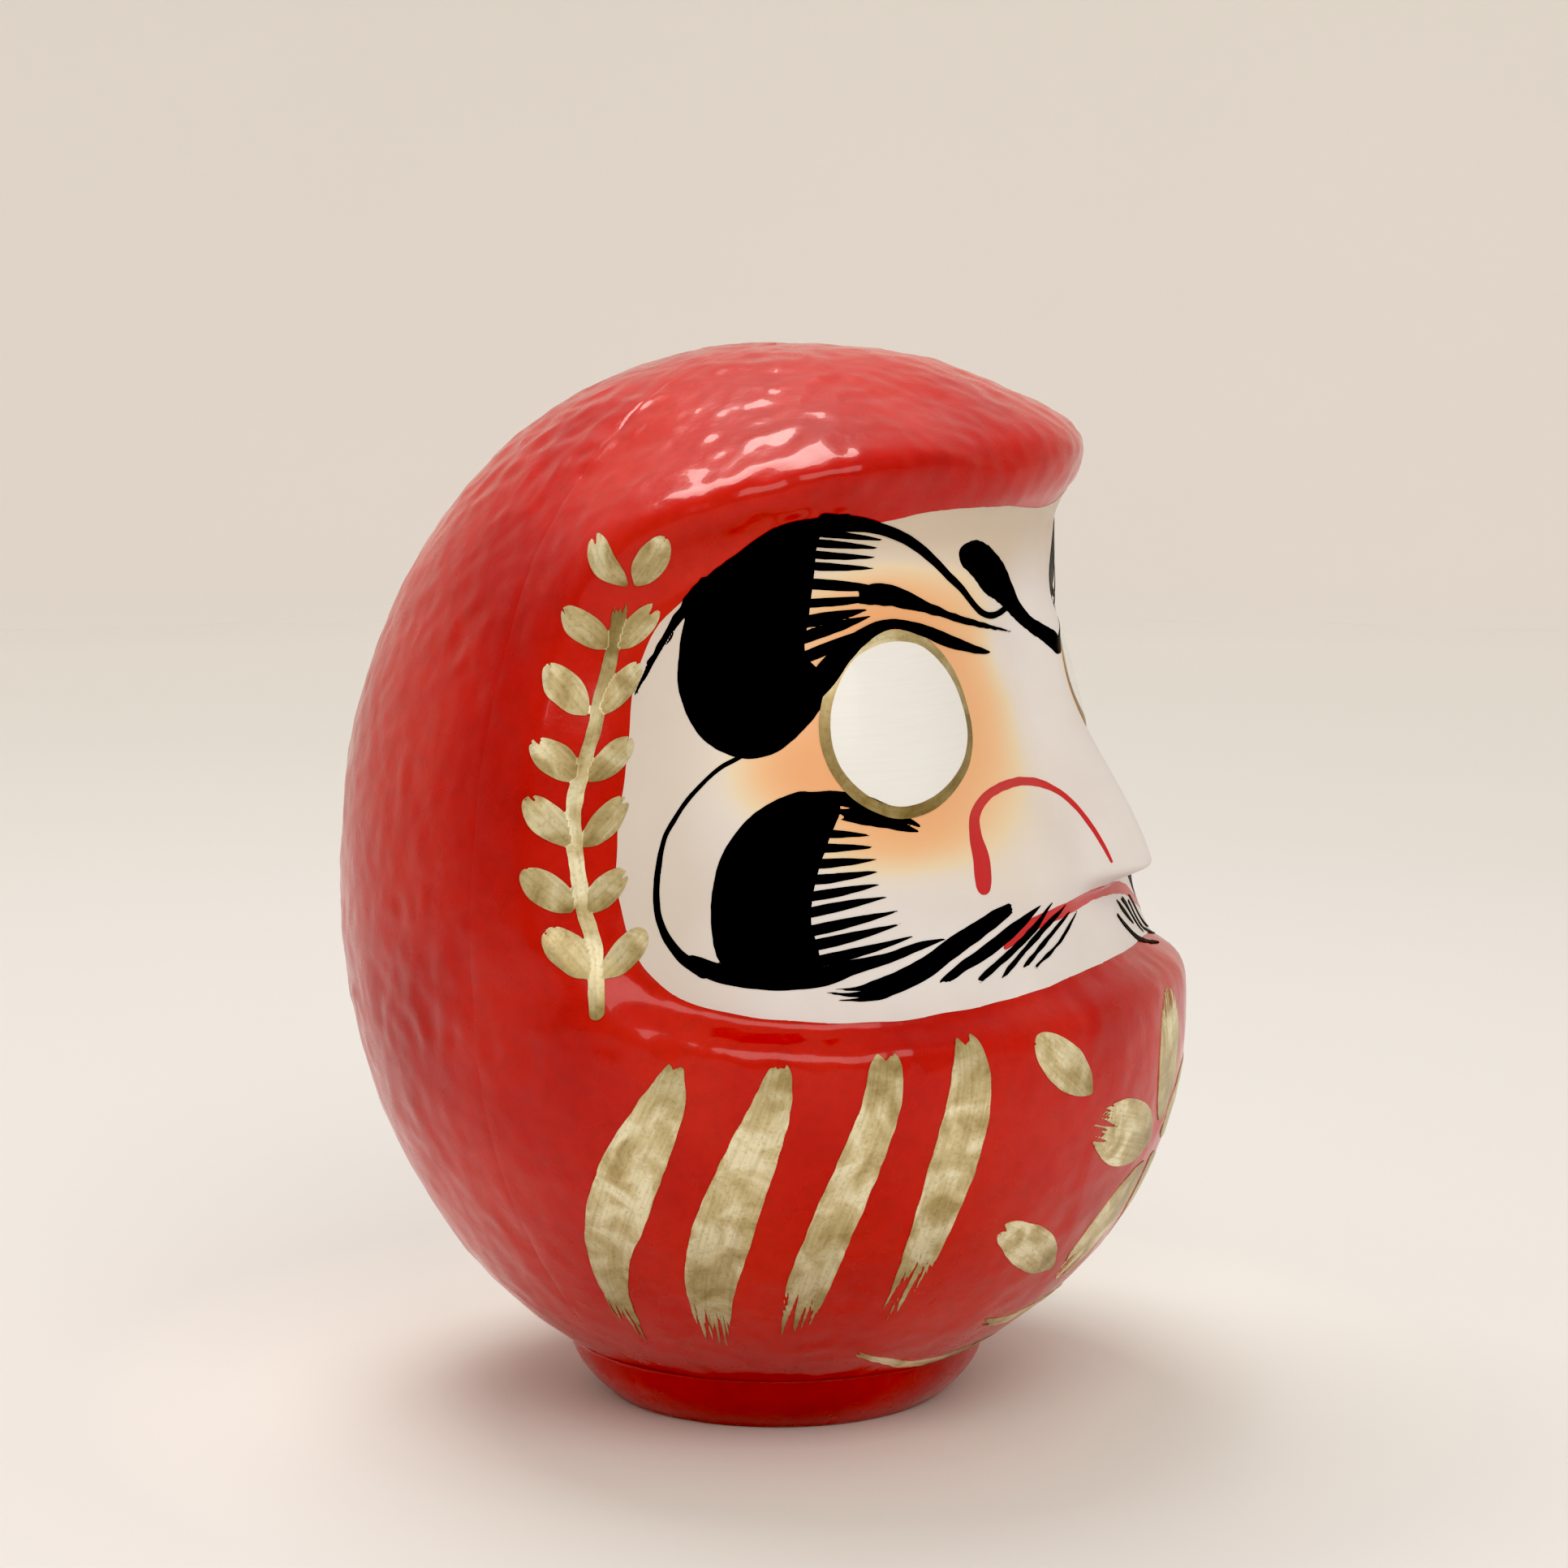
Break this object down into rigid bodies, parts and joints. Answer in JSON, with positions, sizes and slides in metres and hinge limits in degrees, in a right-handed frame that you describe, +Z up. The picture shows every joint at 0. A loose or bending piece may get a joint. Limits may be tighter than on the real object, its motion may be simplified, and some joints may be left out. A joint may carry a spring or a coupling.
{
  "type": "daruma doll",
  "caption": "Hollow papier-mache roly-poly figure, round and armless, with a sunken painted face under a red hood, gold brushwork and a weighted clay foot.",
  "frame": {"origin": "centre of the foot's underside, on the surface that the doll stands on", "axes": "+Z up through the crown; the face looks along -Y; the doll's own right side is -X and its left side is +X"},
  "size_m": [0.2492, 0.2404, 0.2999],
  "materials": {
    "red_lacquer": "gloss",
    "foot_lacquer": "gloss",
    "bare_paper": "matte",
    "clay": "matte",
    "base_paper": "matte",
    "white_ground": "satin",
    "eye_white": "satin",
    "black_ink": "satin",
    "red_ink": "satin",
    "gold_paint": "satin"
  },
  "bodies": {
    "root": {"beard_hairs_left": "black_ink", "beard_hairs_right": "black_ink", "beard_left": "black_ink", "beard_right": "black_ink", "belly_ornament": "gold_paint", "bottom_paper": "base_paper", "brow_curl_left": "black_ink", "brow_curl_right": "black_ink", "brow_stroke_left": "black_ink", "brow_stroke_right": "black_ink", "cheek_line_left": "black_ink", "cheek_line_right": "black_ink", "clay_weight": "clay", "crown_patch": "bare_paper", "eye_rim_left": "gold_paint", "eye_rim_right": "gold_paint", "eye_white_left": "eye_white", "eye_white_right": "eye_white", "eyebrow_hairs_left": "black_ink", "eyebrow_hairs_right": "black_ink", "eyebrow_left": "black_ink", "eyebrow_right": "black_ink", "eyelid_stroke_left": "black_ink", "eyelid_stroke_right": "black_ink", "face_paint": "white_ground", "foot_ring": "foot_lacquer", "forehead_mark_left": "black_ink", "forehead_mark_right": "black_ink", "gold_stripes_left": "gold_paint", "gold_stripes_right": "gold_paint", "moustache_left": "black_ink", "moustache_right": "black_ink", "mouth_line": "red_ink", "nostril_line_left": "red_ink", "nostril_line_right": "red_ink", "seam_strip_left": "bare_paper", "seam_strip_right": "bare_paper", "shell_front": "red_lacquer", "shell_rear": "red_lacquer", "side_ornament_left": "gold_paint", "side_ornament_right": "gold_paint", "sweep_lines": "gold_paint", "whiskers_left": "black_ink", "whiskers_right": "black_ink"}
  },
  "joints": []
}
